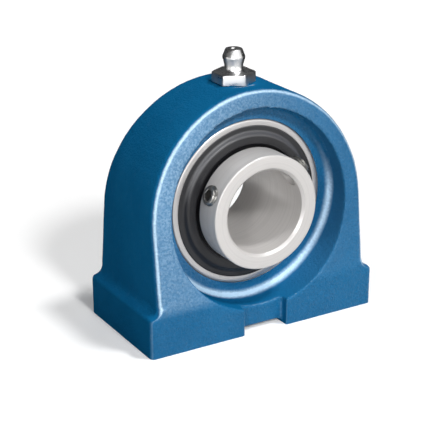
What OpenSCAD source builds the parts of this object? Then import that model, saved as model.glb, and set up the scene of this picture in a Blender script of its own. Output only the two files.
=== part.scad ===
// Short-base pillow block bearing: a cast housing with two tapped holes in its base, a sealed
// ball bearing insert that swivels in a spherical seat, two set screws that lock the shaft,
// and a grease nipple on the crown.
//
// Lengths are millimetres and angles are degrees. X runs along the base, Y along the shaft
// with the set screws at -Y, and Z is up. The origin is the middle of the mounting face.
// Everything on the shaft's axis is drawn in the insert's own frame, made by insert_frame():
// there z runs from the bearing's centre towards the front.

/* [Shaft and insert] */
// Bore of the inner ring
bore_d = 25; // [22:0.5:27]
// Diameter of the insert's spherical outside
insert_d = 52; // [49:0.5:56]
// Outside diameter of the inner ring
collar_d = 34; // [32:0.5:36]
// Reach of the inner ring in front of the bearing's centre
front_reach = 18.3; // [16:0.1:24]
// Reach of the inner ring behind the bearing's centre
rear_reach = 14.3; // [12:0.1:20]
// Bevel at each end of the bore
bore_bevel = 0.77; // [0.3:0.01:1.2]
// Bevel on the outer edges of the inner ring
edge_bevel = 0.35; // [0.1:0.05:0.6]
// Radius between the outer ring's side faces and its spherical outside
rim_r = 0.9; // [0.3:0.1:1.2]
// Depth of the undercut that the seal lips run in
undercut = 0.8; // [0.4:0.1:1.2]
// Diameter of the two lubrication holes in the outer ring
lube_hole_d = 1.5; // [1:0.1:2]

/* [Balls and cage] */
// Diameter of each ball
ball_d = 7.938; // [7:0.002:8.5]
// Number of balls
ball_count = 9; // [7:1:9]
// Radial clearance between a ball and each raceway
ball_gap = 0.03; // [0.01:0.01:0.1]
// Raceway groove radius divided by the ball's diameter
groove_conformity = 0.52; // [0.51:0.005:0.54]
// Height of the groove shoulders above the bottom of each raceway
shoulder_h = 1.6; // [1.2:0.1:2]
// Clearance between a ball and its pocket
pocket_gap = 0.08; // [0.05:0.01:0.2]
// Thickness of the cage behind a ball
cage_web = 1.1; // [0.8:0.1:1.6]
// How far the cage's prongs reach past the middle of the balls
prong_reach = 1.7; // [1:0.1:2.4]
// Wall of a prong beside its pocket
prong_wall = 1.2; // [0.8:0.1:1.5]
// Clearance between the cage and the ring shoulders
cage_gap = 0.45; // [0.3:0.05:0.7]

/* [Seals] */
// Depth of the seat that each seal snaps into
seal_seat_depth = 2.4; // [2:0.1:3]
// Width of the outer ring's side face around the seal
ring_face_w = 1.85; // [1.4:0.05:2.4]
// Space between the cage and the seal
seal_cage_gap = 0.35; // [0.2:0.05:0.8]
// How far the seal's middle stands in front of its rim
seal_step = 1.1; // [0.6:0.1:1.6]
// Thickness of the rubber facing
rubber_t = 0.6; // [0.4:0.05:0.8]
// Thickness of the steel plate
plate_t = 0.5; // [0.3:0.05:0.8]
// Width of the rubber around the plate's outer and inner edges
rubber_edge = 0.5; // [0.3:0.05:0.7]
// Thickness of the seal lip
lip_t = 0.3; // [0.2:0.05:0.5]
// Gap between the seal's inner edge and the inner ring
seal_edge_gap = 0.6; // [0.3:0.05:1]
// Clearance under the seal lip, in its grease film
lip_gap = 0.05; // [0.02:0.01:0.1]

/* [Set screws] */
// Thread diameter of the set screws
set_screw_d = 6; // [5:0.5:7]
// Distance from the inner ring's front face to the set screws
set_screw_back = 4.8; // [4:0.1:5.2]
// Angle of the first set screw, counter-clockwise from the right as seen from the front
set_screw_a_angle = 157; // [0:1:359]
// Angle between the two set screws
set_screw_spread = 120; // [60:5:130]
// How far the first set screw stands out of the inner ring
set_screw_a_proud = 1; // [0.6:0.1:2]
// How far the second set screw stands out of the inner ring
set_screw_b_proud = 1.8; // [0.6:0.1:2]
// How much longer a set screw is than the inner ring's wall
set_screw_extra = 0.5; // [0:0.1:0.5]
// Bevel at each end of a set screw
set_screw_bevel = 0.5; // [0.3:0.05:0.7]
// Width across the flats of the hexagon socket
socket_af = 3; // [2.5:0.1:3.4]
// Depth of the hexagon socket
socket_depth = 2.4; // [1.5:0.1:2.8]

/* [Housing] */
// Height of the shaft's centre above the mounting face
shaft_h = 36.5; // [34:0.5:42]
// Depth of the foot along the shaft
foot_depth = 38; // [36:0.5:44]
// Height of the foot
foot_h = 12; // [9:0.2:14]
// How far the foot reaches past each side of the arch
foot_step = 2.8; // [2.7:0.1:12]
// Radius of the foot's upright corners
foot_corner_r = 1.2; // [0.8:0.1:2.4]
// Radius of the foot's top edges
foot_edge_r = 0.6; // [0.3:0.1:0.7]
// Width of the recess floor around the outer ring
recess_margin = 4.27; // [3:0.01:6]
// Radius between the recess floor and the recess wall
recess_fillet = 2.5; // [1:0.1:2.8]
// Wall of the arch around the recess
arch_wall = 6.16; // [5:0.01:9]
// How far the arch's centre lies below the shaft's centre
arch_drop = 0.7; // [0:0.1:1.5]
// Lean of the arch's front and rear faces
arch_draft = 7.05; // [0:0.05:8]
// Radius of the arch's front and rear edges
arch_edge_r = 2.2; // [1:0.1:3]
// Radius between the arch's sides and the foot
root_fillet = 2.5; // [1:0.1:2.7]
// Clearance between the insert and its spherical seat
seat_gap = 0.05; // [0.02:0.01:0.1]
// Play of the insert in the two loading slots
slot_play = 0.3; // [0.2:0.05:0.6]
// Depth of the grease groove around the seat
grease_groove_depth = 0.8; // [0.4:0.1:1.4]
// Width of the grease groove around the seat
grease_groove_w = 10; // [9:0.5:11]
// Width of the notches and of the channel under the foot
relief_w = 14.2; // [10:0.2:18]
// Depth of the notch in the front and rear of the foot
notch_depth = 2.8; // [1:0.1:4]
// Height of the channel under the foot
relief_h = 1.1; // [0.5:0.1:2]

/* [Base holes] */
// Distance between the two tapped base holes
hole_spacing = 50.8; // [46:0.2:54]
// Tapping drill of the base holes
tap_drill_d = 8.5; // [6.8:0.1:10]
// Depth of the base holes
hole_depth = 15; // [10:0.5:16]
// Full point angle of the drill
drill_point = 118; // [90:1:140]

/* [Grease nipple] */
// Thread diameter of the nipple
nipple_thread_d = 6; // [5:0.5:7]
// Length of the nipple's thread below its hexagon
nipple_thread_l = 5.2; // [4:0.1:6]
// Width across the nipple's hexagon flats
nipple_af = 11; // [10:0.5:12]
// Height of the nipple's hexagon
nipple_hex_h = 3; // [2.5:0.1:4]
// Height of the nipple above its seat
nipple_h = 9.7; // [9:0.1:12]
// Diameter of the nipple's head
nipple_head_d = 6.5; // [6:0.1:7]
// Diameter of the nipple's neck
nipple_neck_d = 5.4; // [5:0.1:5.6]
// Diameter of the nipple's grease passage
nipple_bore_d = 3.2; // [2.9:0.1:3.4]
// Diameter of the nipple's mouth
nipple_mouth_d = 1.8; // [1.4:0.1:2]
// Thickness of the lip that holds the check ball in
nipple_lip = 0.6; // [0.4:0.05:1]
// Diameter of the check ball
check_ball_d = 2.6; // [2.3:0.1:2.8]
// Wire of the check spring
spring_wire_d = 0.4; // [0.3:0.05:0.5]
// Turns of the check spring
spring_turns = 7; // [5:1:9]
// Depth of the flat that the nipple sits on
spot_depth = 0.3; // [0.1:0.05:0.8]
// Diameter of the grease passage in the housing
grease_hole_d = 3; // [2:0.2:4]

/* [Hidden] */
$fn = 96;
// How far a cut runs past the face that it opens
over = 1;
// Working clearance of a thread's outside in its hole
thread_gap = 0.05;
// Clearance of a seal's bead in its seat
bead_gap = 0.02;
// Clearance between the check ball, its lip and its spring
check_gap = 0.02;
// How far each seal's rim lies below the outer ring's side face
seal_sink = 0.1;
// Length of the undercut's floor in front of the seal
undercut_lead = 0.75;
// Room under the nipple's thread and around its spring
thread_room = 0.4;
spring_room = 0.25;

bore_r = bore_d / 2;
collar_r = collar_d / 2;
insert_r = insert_d / 2;
ball_r = ball_d / 2;
pitch_r = (bore_d + insert_d) / 4;
groove_r = groove_conformity * ball_d;
inner_race_r = pitch_r - ball_r - ball_gap;
outer_race_r = pitch_r + ball_r + ball_gap;
inner_shoulder_r = inner_race_r + shoulder_h;
outer_shoulder_r = outer_race_r - shoulder_h;
// Half length of each shoulder band, measured from the middle of the balls
shoulder_end = ball_r + pocket_gap + cage_web;

// The outer ring is just wide enough for the balls, the cage and the two seals
seal_ledge = shoulder_end + seal_cage_gap;
ring_half = seal_ledge + seal_seat_depth;
ring_w = 2 * ring_half;
ring_face_r = sqrt(insert_r * insert_r - ring_half * ring_half);
seal_seat_r = ring_face_r - ring_face_w;

cage_in_r = inner_shoulder_r + cage_gap;
cage_out_r = outer_shoulder_r - cage_gap;

seal_in_r = collar_r + seal_edge_gap;
seal_out_r = seal_seat_r - bead_gap;
seal_w = seal_out_r - seal_in_r;
seal_t = rubber_t + plate_t;
// A conical step lies between the seal's flat rim and its raised middle
seal_step_in_r = seal_in_r + 0.5 * seal_w;
seal_step_out_r = seal_in_r + 0.68 * seal_w;
seal_rim = ring_half - seal_sink;
seal_crown = seal_rim + seal_step;
lip_land_r = collar_r - undercut;
undercut_end = seal_crown + undercut_lead;

set_screw_z = front_reach - set_screw_back;
set_screw_l = collar_r - bore_r + set_screw_extra;

seat_r = insert_r + seat_gap;
recess_r = ring_face_r + recess_margin;
arch_r = recess_r + arch_wall;
arch_h = shaft_h - arch_drop;
crown_h = arch_h + arch_r;
foot_l = 2 * (arch_r + foot_step);
spot_h = crown_h - spot_depth;
nipple_hole_depth = nipple_thread_l + thread_room;

// Heights of the nipple's outline above its seat: the flare ends where the neck is
// narrowest, and the head is widest between its two cones
flare_top = 0.51 * nipple_h;
head_low = 0.73 * nipple_h;
head_high = 0.78 * nipple_h;
nipple_bevel = 0.25;
// Width of the flare's foot around the neck, and of the head's top around the mouth
flare_w = 0.9;
head_top_w = 1.6;
// How far the corners of the nipple's hexagon are turned down
hex_corner_cut = 0.25;

// The check ball rests on the edge of the nipple's mouth
check_ball_r = check_ball_d / 2;
mouth_r = nipple_mouth_d / 2;
lip_under = spot_h + nipple_h - nipple_lip;
check_ball_h = lip_under - sqrt(pow(check_ball_r + check_gap, 2) - mouth_r * mouth_r);
spring_r = nipple_bore_d / 2 - spring_wire_d / 2 - spring_room;
spring_stop_t = 0.8;
spring_low = spot_h - nipple_thread_l + spring_stop_t + spring_wire_d / 2;
spring_reach = check_ball_r + spring_wire_d / 2 + check_gap;
spring_high = check_ball_h - sqrt(spring_reach * spring_reach - spring_r * spring_r);

// Places a child on the shaft's axis, with its z towards the front of the bearing
module insert_frame() {
    translate([0, 0, shaft_h]) rotate([90, 0, 0]) children();
}

// A child and its mirror image behind the bearing's middle plane
module both_ends() {
    children();
    mirror([0, 0, 1]) children();
}

// A band between two radii and two heights, as half of its section
module band(r_in, r_out, z_low, z_high) {
    translate([r_in, z_low]) square([r_out - r_in, z_high - z_low]);
}

// Housing

// How far behind the foot's front face the leaning face lies at a height
function lean(z) = max(0, z - foot_h) * tan(arch_draft);

// Middle of a ball of the edge radius that touches the leaning face from inside
function edge_y(z) = foot_depth / 2 - arch_edge_r / cos(arch_draft) - lean(z);

module arch_form() {
    steps = 36;
    r = arch_r - arch_edge_r;
    hull() for (side = [-1, 1]) {
        for (i = [0 : steps]) {
            a = 180 * i / steps;
            z = arch_h + r * sin(a);
            translate([r * cos(a), side * edge_y(z), z]) sphere(arch_edge_r, $fn = 28);
        }
        for (x = [-r, r])
            translate([x, side * (foot_depth / 2 - arch_edge_r), foot_edge_r])
                cylinder(r = arch_edge_r, h = foot_h - foot_edge_r, $fn = 28);
    }
}

module foot_form() {
    x = foot_l / 2 - foot_corner_r;
    y = foot_depth / 2 - foot_corner_r;
    hull() for (sx = [-1, 1], sy = [-1, 1]) translate([sx * x, sy * y, 0]) {
        cylinder(r = foot_corner_r, h = foot_h - foot_edge_r, $fn = 32);
        cylinder(r = foot_corner_r - foot_edge_r * 0.3, h = foot_h - foot_edge_r * 0.3, $fn = 32);
        cylinder(r = foot_corner_r - foot_edge_r, h = foot_h, $fn = 32);
    }
}

// Section of the concave fillet between the arch and the foot
module root_section() {
    difference() {
        translate([-root_fillet / 2, -root_fillet / 2]) square(1.5 * root_fillet);
        translate([root_fillet, root_fillet]) circle(root_fillet);
    }
}

// Fillet along the right side of the arch and round its two upright corners
module root_fillets() {
    l = foot_depth - 2 * arch_edge_r;
    intersection() {
        union() {
            translate([arch_r, l / 2, foot_h]) rotate([90, 0, 0]) linear_extrude(l) root_section();
            for (side = [0, 1]) mirror([0, side, 0])
                translate([arch_r - arch_edge_r, l / 2, foot_h])
                    rotate_extrude(angle = 90) translate([arch_edge_r, 0]) root_section();
        }
        translate([0, -foot_depth / 2, 0]) cube([foot_l, foot_depth, foot_h + root_fillet]);
    }
}

// Round recess in front of the insert, with a filleted floor edge
module recess_cut() {
    fillet_r = recess_r - recess_fillet;
    fillet_z = ring_half + recess_fillet;
    rotate_extrude() difference() {
        band(0, recess_r, ring_half, foot_depth / 2 + over);
        difference() {
            band(fillet_r, recess_r + over, ring_half - over, fillet_z);
            translate([fillet_r, fillet_z]) circle(recess_fillet);
        }
    }
}

// Two slots in the rear half of the seat that let the insert in edgewise
module loading_slots() {
    slot_r = seat_r + slot_play;
    intersection() {
        translate([0, 0, -ring_half - over]) cylinder(r = slot_r, h = ring_half + over);
        cube([2 * slot_r + over, ring_w + 2 * slot_play, 4 * ring_half], center = true);
    }
}

module seat_cuts() {
    groove_half = grease_groove_w / 2;
    sphere(seat_r, $fn = 128);
    loading_slots();
    rotate_extrude() band(seat_r - over, seat_r + grease_groove_depth, -groove_half, groove_half);
    both_ends() recess_cut();
}

module tapped_hole() {
    r = tap_drill_d / 2;
    point = r / tan(drill_point / 2);
    translate([0, 0, -over]) cylinder(r = r, h = hole_depth + over);
    translate([0, 0, hole_depth]) cylinder(r1 = r, r2 = 0, h = point);
}

// Notches in the front and rear of the foot up to the recess, and the channel between them
module relief_cuts() {
    half = relief_w / 2;
    front = foot_depth / 2 + over;
    top = shaft_h - sqrt(recess_r * recess_r - half * half) + over;
    for (side = [0, 1]) mirror([0, side, 0])
        translate([-half, -front, -over]) cube([relief_w, notch_depth + over, top + over]);
    translate([-half, -front, -over]) cube([relief_w, 2 * front, relief_h + over]);
}

module nipple_hole() {
    seat_top = shaft_h + seat_r;
    translate([0, 0, spot_h]) cylinder(d = nipple_af / cos(30) + 1, h = over + spot_depth);
    translate([0, 0, spot_h - nipple_hole_depth])
        cylinder(d = nipple_thread_d, h = nipple_hole_depth + over);
    translate([0, 0, seat_top - over]) cylinder(d = grease_hole_d, h = spot_h - seat_top);
}

module housing() {
    color("steelblue") difference() {
        union() {
            arch_form();
            foot_form();
            for (side = [0, 1]) mirror([side, 0, 0]) root_fillets();
        }
        insert_frame() seat_cuts();
        for (side = [-1, 1]) translate([side * hole_spacing / 2, 0, 0]) tapped_hole();
        relief_cuts();
        nipple_hole();
    }
}

// Bearing rings

// What the rounding of a rim takes off the outer ring's section
module rim_waste() {
    z = ring_half - rim_r;
    r = sqrt(pow(insert_r - rim_r, 2) - z * z);
    slope = atan(z / r);
    translate([r, z]) difference() {
        polygon([[0, 0], [2 * rim_r * cos(slope), 2 * rim_r * sin(slope)], [0, 2 * rim_r]]);
        circle(rim_r);
    }
}

module outer_ring_section() {
    difference() {
        intersection() {
            circle(insert_r);
            band(outer_shoulder_r, insert_r, -ring_half, ring_half);
        }
        translate([outer_race_r - groove_r, 0]) circle(groove_r);
        for (side = [-1, 1]) scale([1, side]) {
            band(0, seal_seat_r, seal_ledge, ring_half + over);
            rim_waste();
        }
    }
}

module outer_ring() {
    hole_z = (shoulder_end + groove_r * sin(acos(1 - shoulder_h / groove_r))) / 2;
    hole_l = insert_r - outer_shoulder_r + 2 * over;
    color("gainsboro") insert_frame() difference() {
        rotate_extrude() outer_ring_section();
        // One lubrication hole on each side of the raceway
        for (side = [-1, 1])
            rotate([0, 0, 90 + side * 60])
                translate([outer_shoulder_r - over, 0, side * hole_z])
                    rotate([0, 90, 0]) cylinder(d = lube_hole_d, h = hole_l);
    }
}

module inner_ring_section() {
    difference() {
        union() {
            band(bore_r, inner_shoulder_r, -undercut_end, undercut_end);
            band(bore_r, collar_r, undercut_end, front_reach);
            band(bore_r, collar_r, -rear_reach, -undercut_end);
        }
        for (side = [-1, 1]) scale([1, side])
            band(lip_land_r, inner_shoulder_r + over, shoulder_end, undercut_end);
        translate([inner_race_r + groove_r, 0]) circle(groove_r);
        for (z = [-rear_reach, front_reach]) {
            translate([bore_r, z]) rotate(45) square(sqrt(2) * bore_bevel, center = true);
            translate([collar_r, z]) rotate(45) square(sqrt(2) * edge_bevel, center = true);
        }
    }
}

// Turns a child from the x axis to a set screw's place on the inner ring
module set_screw_frame(angle) {
    rotate([0, 0, angle]) translate([0, 0, set_screw_z]) rotate([0, 90, 0]) children();
}

module inner_ring() {
    color("silver") insert_frame() difference() {
        rotate_extrude() inner_ring_section();
        for (angle = [set_screw_a_angle, set_screw_a_angle - set_screw_spread])
            set_screw_frame(angle) translate([0, 0, bore_r - over])
                cylinder(d = set_screw_d, h = collar_r - bore_r + 2 * over);
    }
}

module ball(i) {
    angle = 90 + 360 * (i - 1) / ball_count;
    color("whitesmoke") insert_frame()
        rotate([0, 0, angle]) translate([pitch_r, 0, 0]) sphere(ball_r, $fn = 48);
}

// Snap cage: a ring behind the balls whose prongs reach forward between them

module cage() {
    pocket_r = ball_r + pocket_gap;
    half_pitch = pitch_r * sin(180 / ball_count);
    slot_w = 2 * (half_pitch - pocket_r - prong_wall);
    prong_root = cage_web;
    color("ivory") insert_frame() difference() {
        rotate_extrude() band(cage_in_r, cage_out_r, -shoulder_end, prong_reach);
        for (i = [0 : ball_count - 1]) rotate([0, 0, 90 + 360 * i / ball_count]) {
            translate([pitch_r, 0, 0]) sphere(pocket_r, $fn = 48);
            // Slot between this ball's prongs and the next ball's
            rotate([0, 0, 180 / ball_count])
                translate([cage_in_r - over, -slot_w / 2, -prong_root])
                    cube([cage_out_r - cage_in_r + 2 * over, slot_w, prong_reach + prong_root + over]);
        }
    }
}

// Seals: a rubber facing bonded to a pressed steel plate

// How far the step's corners move in at a depth under the facing, to keep the step's thickness
function step_shift(depth) =
    depth * tan(atan(seal_step / (seal_step_out_r - seal_step_in_r)) / 2);

// Outline of the whole seal, z towards the outside of the bearing
module seal_section() {
    bevel = lip_t;
    bead_r = seal_out_r - 2 * rubber_edge;
    crown_back = seal_crown - seal_t;
    rim_back = seal_rim - seal_t;
    lip_tip_r = lip_land_r + lip_gap;
    lip_tip = crown_back - 0.5 * rubber_t;
    polygon([
        [seal_out_r, seal_ledge],
        [seal_out_r, seal_rim - bevel],
        [seal_out_r - bevel, seal_rim],
        [seal_step_out_r, seal_rim],
        [seal_step_in_r, seal_crown],
        [seal_in_r + bevel, seal_crown],
        [seal_in_r, seal_crown - bevel],
        [seal_in_r, crown_back],
        [lip_tip_r, lip_tip],
        [lip_tip_r, lip_tip - lip_t],
        [seal_in_r + rubber_edge, crown_back - lip_t],
        [seal_in_r + 2 * rubber_edge, crown_back],
        [seal_step_in_r - step_shift(seal_t), crown_back],
        [seal_step_out_r - step_shift(seal_t), rim_back],
        [bead_r, rim_back],
        [bead_r, seal_ledge]
    ]);
}

// Section of the plate, which lies in the back of the rubber
module seal_plate_section() {
    out_r = seal_out_r - rubber_edge;
    in_r = seal_in_r + rubber_edge;
    polygon([
        [out_r, seal_rim - rubber_t],
        [seal_step_out_r - step_shift(rubber_t), seal_rim - rubber_t],
        [seal_step_in_r - step_shift(rubber_t), seal_crown - rubber_t],
        [in_r, seal_crown - rubber_t],
        [in_r, seal_crown - seal_t],
        [seal_step_in_r - step_shift(seal_t), seal_crown - seal_t],
        [seal_step_out_r - step_shift(seal_t), seal_rim - seal_t],
        [out_r, seal_rim - seal_t]
    ]);
}

module seal_rubber() {
    color("dimgray") rotate_extrude() difference() {
        seal_section();
        seal_plate_section();
    }
}

module seal_plate() {
    color("darkgray") rotate_extrude() seal_plate_section();
}

// Set screws: socket outwards, cup point on the shaft

module set_screw(angle, proud) {
    r = set_screw_d / 2 - thread_gap;
    cup_r = set_screw_d / 4;
    low = collar_r + proud - set_screw_l;
    color("dimgray") insert_frame() set_screw_frame(angle) translate([0, 0, low]) difference() {
        rotate_extrude() difference() {
            band(0, r, 0, set_screw_l);
            for (z = [0, set_screw_l])
                translate([r, z]) rotate(45) square(sqrt(2) * set_screw_bevel, center = true);
        }
        translate([0, 0, set_screw_l - socket_depth])
            cylinder(d = socket_af / cos(30), h = socket_depth + over, $fn = 6);
        translate([0, 0, -over]) cylinder(r1 = cup_r + over, r2 = 0, h = cup_r + over);
    }
}

// Grease nipple

// Half outline of the nipple, z above its seat
module nipple_outline() {
    neck_r = nipple_neck_d / 2;
    head_r = nipple_head_d / 2;
    shank_r = nipple_thread_d / 2 - thread_gap;
    top_r = mouth_r + head_top_w;
    flare_h = flare_top - nipple_hex_h;
    flare = [for (a = [0 : 15 : 90])
        [neck_r + flare_w * (1 - sin(a)), flare_top - flare_h * cos(a)]];
    polygon(concat(
        [[0, -nipple_thread_l],
         [shank_r - 2 * nipple_bevel, -nipple_thread_l],
         [shank_r, 2 * nipple_bevel - nipple_thread_l],
         [shank_r, 0],
         [neck_r + flare_w, 0]],
        flare,
        [[head_r, head_low],
         [head_r, head_high],
         [top_r, nipple_h - nipple_bevel],
         [top_r - nipple_bevel, nipple_h],
         [0, nipple_h]]
    ));
}

// Passage through the nipple: mouth, chamber of the ball and spring, and the spring's stop
module nipple_bore() {
    low = -nipple_thread_l;
    chamber = low + spring_stop_t;
    lip = nipple_h - nipple_lip;
    stop_r = spring_r - spring_wire_d / 2;
    translate([0, 0, low - over]) cylinder(r = stop_r, h = spring_stop_t + 2 * over);
    translate([0, 0, chamber]) cylinder(d = nipple_bore_d, h = lip - chamber);
    translate([0, 0, lip - over]) cylinder(r = mouth_r, h = nipple_lip + 2 * over);
}

module nipple_body() {
    hex_r = nipple_af / 2 / cos(30);
    turned_r = hex_r - hex_corner_cut;
    color("silver") translate([0, 0, spot_h]) difference() {
        union() {
            rotate_extrude() nipple_outline();
            // Hexagon with its corners turned down, a flat towards each end of the foot
            intersection() {
                rotate([0, 0, 30]) cylinder(r = hex_r, h = nipple_hex_h, $fn = 6);
                cylinder(r1 = turned_r + nipple_hex_h / tan(30), r2 = turned_r, h = nipple_hex_h);
            }
        }
        nipple_bore();
    }
}

module nipple_ball() {
    color("whitesmoke") translate([0, 0, check_ball_h]) sphere(check_ball_r, $fn = 48);
}

// Rise of the spring's centre line after n turns: a closed turn at each end, open ones between
function coil_rise(n) =
    let (closed = 1.1 * spring_wire_d)
    let (open = (spring_high - spring_low - 2 * closed) / (spring_turns - 2))
    let (open_turns = max(0, min(n, spring_turns - 1) - 1))
    closed * min(n, 1) + open * open_turns + closed * max(0, n - spring_turns + 1);

// Spring wire, swept as rings of corners around the coil's centre line
module nipple_spring() {
    sides = 6;
    steps = 12;
    rings = steps * spring_turns;
    wire_r = spring_wire_d / 2;
    corners = [for (i = [0 : rings], j = [0 : sides - 1])
        let (a = 360 * i / steps, b = 360 * j / sides, r = spring_r + wire_r * cos(b))
        [r * cos(a), r * sin(a), spring_low + coil_rise(i / steps) + wire_r * sin(b)]];
    skin = [for (i = [0 : rings - 1], j = [0 : sides - 1], half = [0, 1])
        let (near = i * sides, far = near + sides, k = (j + 1) % sides)
        half == 0 ? [near + j, far + j, far + k] : [near + j, far + k, near + k]];
    ends = [[for (j = [0 : sides - 1]) j], [for (j = [sides - 1 : -1 : 0]) rings * sides + j]];
    color("silver") polyhedron(corners, concat(skin, ends));
}

housing();
outer_ring();
inner_ring();
cage();
for (i = [1 : ball_count]) ball(i);
insert_frame() seal_rubber();  // seal_front
insert_frame() mirror([0, 0, 1]) seal_rubber();  // seal_rear
insert_frame() seal_plate();  // seal_plate_front
insert_frame() mirror([0, 0, 1]) seal_plate();  // seal_plate_rear
set_screw(set_screw_a_angle, set_screw_a_proud);  // set_screw_a
set_screw(set_screw_a_angle - set_screw_spread, set_screw_b_proud);  // set_screw_b
nipple_body();
nipple_ball();
nipple_spring();
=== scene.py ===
"""Looks of the pillow block bearing: its casting, turned rings, seals, screws and nipple.

The insert's parts are made in the insert's own coordinates: a radius and an angle round the
shaft, and a height z from the bearing's middle plane towards the front. shaft_frame() puts
them in the row's frame. Sizes are in millimetres until mesh_object() turns them to metres.
Materials, lamps and the camera use metres.
"""

import math

import bpy
from mathutils import Matrix, Vector, noise


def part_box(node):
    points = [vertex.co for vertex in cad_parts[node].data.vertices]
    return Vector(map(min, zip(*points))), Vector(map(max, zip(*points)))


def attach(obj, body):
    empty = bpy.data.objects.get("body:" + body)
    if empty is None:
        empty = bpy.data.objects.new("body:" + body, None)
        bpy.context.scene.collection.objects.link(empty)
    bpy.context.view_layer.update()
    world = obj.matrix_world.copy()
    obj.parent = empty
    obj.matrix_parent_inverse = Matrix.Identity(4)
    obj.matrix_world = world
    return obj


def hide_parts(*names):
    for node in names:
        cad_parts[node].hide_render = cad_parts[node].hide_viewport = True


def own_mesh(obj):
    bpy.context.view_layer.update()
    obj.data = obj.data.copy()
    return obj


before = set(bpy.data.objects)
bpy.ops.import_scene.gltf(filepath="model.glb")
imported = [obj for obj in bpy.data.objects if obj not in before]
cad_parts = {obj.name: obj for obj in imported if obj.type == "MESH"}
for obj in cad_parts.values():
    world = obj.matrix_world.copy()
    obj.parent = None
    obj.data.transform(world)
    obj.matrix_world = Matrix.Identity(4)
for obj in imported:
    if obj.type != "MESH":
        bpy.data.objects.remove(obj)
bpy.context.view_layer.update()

MM = 0.001

# Sizes that the visual pieces share with the solids, in millimetres
SHAFT_H = 36.5
BORE_R = 12.5
COLLAR_R = 17.0
INSERT_R = 26.0
FRONT_REACH = 18.3
REAR_REACH = 14.3
BALL_R = 3.969
BALL_GAP = 0.03
GROOVE_R = 1.04 * BALL_R
SHOULDER_H = 1.6
SHOULDER_END = BALL_R + 1.18
SEAL_LEDGE = SHOULDER_END + 0.35
RING_HALF = SEAL_LEDGE + 2.4
RING_FACE_R = math.sqrt(INSERT_R ** 2 - RING_HALF ** 2)
SEAL_SEAT_R = RING_FACE_R - 1.85
SEAL_IN_R = COLLAR_R + 0.6
SEAL_OUT_R = SEAL_SEAT_R - 0.02
SEAL_RIM = RING_HALF - 0.1
SEAL_STEP = 1.1
SEAL_CROWN = SEAL_RIM + SEAL_STEP
STEP_IN = 0.5
STEP_OUT = 0.68
RUBBER_T = 0.6
PLATE_T = 0.5
LIP_LAND_R = COLLAR_R - 0.8
UNDERCUT_END = SEAL_CROWN + 0.75
SEAT_R = INSERT_R + 0.05
RECESS_R = RING_FACE_R + 4.27
FACE_Y = 19.0
FOOT_H = 12.0
FACE_LEAN = math.tan(math.radians(7.05))
PITCH_R = (BORE_R + INSERT_R) / 2
SCREW_ANGLES = {"set_screw_a": 157.0, "set_screw_b": 37.0}
SCREW_TOPS = {"set_screw_a": 18.0, "set_screw_b": 18.8}
SCREW_Z = 13.5
SCREW_LENGTH = 5.0
M6_HOLE_R = 3.0
THREAD_GAP = 0.05
M6_PITCH = 1.0
M6_DEPTH = 0.6
NIPPLE_SEAT_H = 70.7
NIPPLE_TOP = 9.7
NIPPLE_SHANK = 5.2
NIPPLE_HEX_H = 3.0
NIPPLE_COUNT = 96
HOLE_X = 25.4
HOLE_R = 5.0
HOLE_DEPTH = 15.0


# Mesh tools

def mesh_object(name, points, faces, sharp_angle=35.0):
    """A new object from points in millimetres, smooth except where faces meet sharply."""
    mesh = bpy.data.meshes.new(name)
    mesh.from_pydata([Vector(p) * MM for p in points], [], faces)
    mesh.validate()
    piece = bpy.data.objects.new(name, mesh)
    bpy.context.scene.collection.objects.link(piece)
    shade(piece, sharp_angle)
    return piece


def shade(piece, sharp_angle):
    """Smooth shading with sharp edges where two faces meet at more than sharp_angle degrees."""
    piece.data.shade_smooth()
    piece.data.set_sharp_from_angle(angle=math.radians(sharp_angle))


def circle(r, z, count=96):
    """A ring of points round the z axis. r is a radius, or a function of the angle."""
    radius = r if callable(r) else (lambda angle: r)
    angles = [2 * math.pi * i / count for i in range(count)]
    return [(radius(a) * math.cos(a), radius(a) * math.sin(a), z) for a in angles]


def loft(name, rings, closed=False, sharp_angle=35.0):
    """A solid through rings of points. A ring of one point closes an end, and a closed loft
    joins its last ring to its first."""
    points = [p for ring in rings for p in ring]
    starts = [sum(len(ring) for ring in rings[:i]) for i in range(len(rings))]
    pairs = [(i, i + 1) for i in range(len(rings) - 1)]
    if closed:
        pairs.append((len(rings) - 1, 0))
    faces = []
    for a, b in pairs:
        near, far = starts[a], starts[b]
        count = max(len(rings[a]), len(rings[b]))
        for i in range(count):
            j = (i + 1) % count
            if len(rings[a]) == 1:
                faces.append((near, far + j, far + i))
            elif len(rings[b]) == 1:
                faces.append((near + i, near + j, far))
            else:
                faces.append((near + i, near + j, far + j, far + i))
    return mesh_object(name, points, faces, sharp_angle)


def capped(rings):
    """The rings with a point on the z axis at each end, which closes the solid flat."""
    low, high = rings[0][0][2], rings[-1][0][2]
    return [[(0, 0, low)]] + rings + [[(0, 0, high)]]


def lathe(name, outline, count=160, sharp_angle=35.0):
    """A ring turned from a closed outline of (radius, z) points, given counter-clockwise."""
    size = len(outline)
    points = []
    faces = []
    for i in range(count):
        angle = 2 * math.pi * i / count
        points += [(r * math.cos(angle), r * math.sin(angle), z) for r, z in outline]
        here = i * size
        after = (i + 1) % count * size
        for k in range(size):
            m = (k + 1) % size
            faces.append((here + k, after + k, after + m, here + m))
    return mesh_object(name, points, faces, sharp_angle)


def arc(middle, radius, start, end, steps):
    """Points of an arc between two angles in degrees."""
    angles = [math.radians(start + (end - start) * i / steps) for i in range(steps + 1)]
    return [(middle + radius * math.cos(a), radius * math.sin(a)) for a in angles]


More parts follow.
